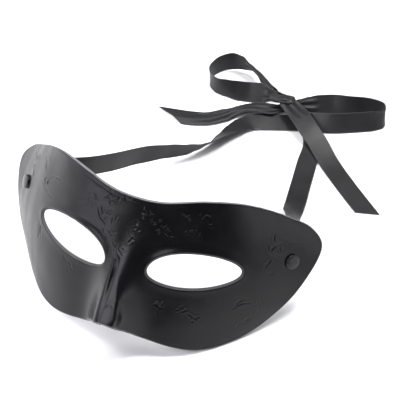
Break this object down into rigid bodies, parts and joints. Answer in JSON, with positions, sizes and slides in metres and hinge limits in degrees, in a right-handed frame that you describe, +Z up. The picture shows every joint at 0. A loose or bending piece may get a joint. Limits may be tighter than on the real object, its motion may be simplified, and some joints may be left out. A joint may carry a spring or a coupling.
{
  "type": "masquerade mask",
  "caption": "Moulded black half mask with eye holes and a nose ridge, leaning back on its cheeks, with satin ribbons from its temple rivets tied in a bow behind it.",
  "frame": {"origin": "middle of the footprint of the mask and its ribbons, on the ground", "axes": "+Z up, -Y the way the mask faces, +X to the wearer's left"},
  "size_m": [0.1876, 0.2366, 0.0798],
  "materials": {
    "moulded_leather": "smooth moulded black leather, satin sheen, fine crackle wrinkles",
    "rivet": "black, satin, slightly domed",
    "satin_ribbon": "charcoal satin ribbon with woven edges"
  },
  "bodies": {
    "root": {"mask_shell": "moulded_leather", "rivet_left": "rivet", "rivet_right": "rivet", "ribbon_left": "satin_ribbon", "ribbon_right": "satin_ribbon"}
  },
  "joints": []
}
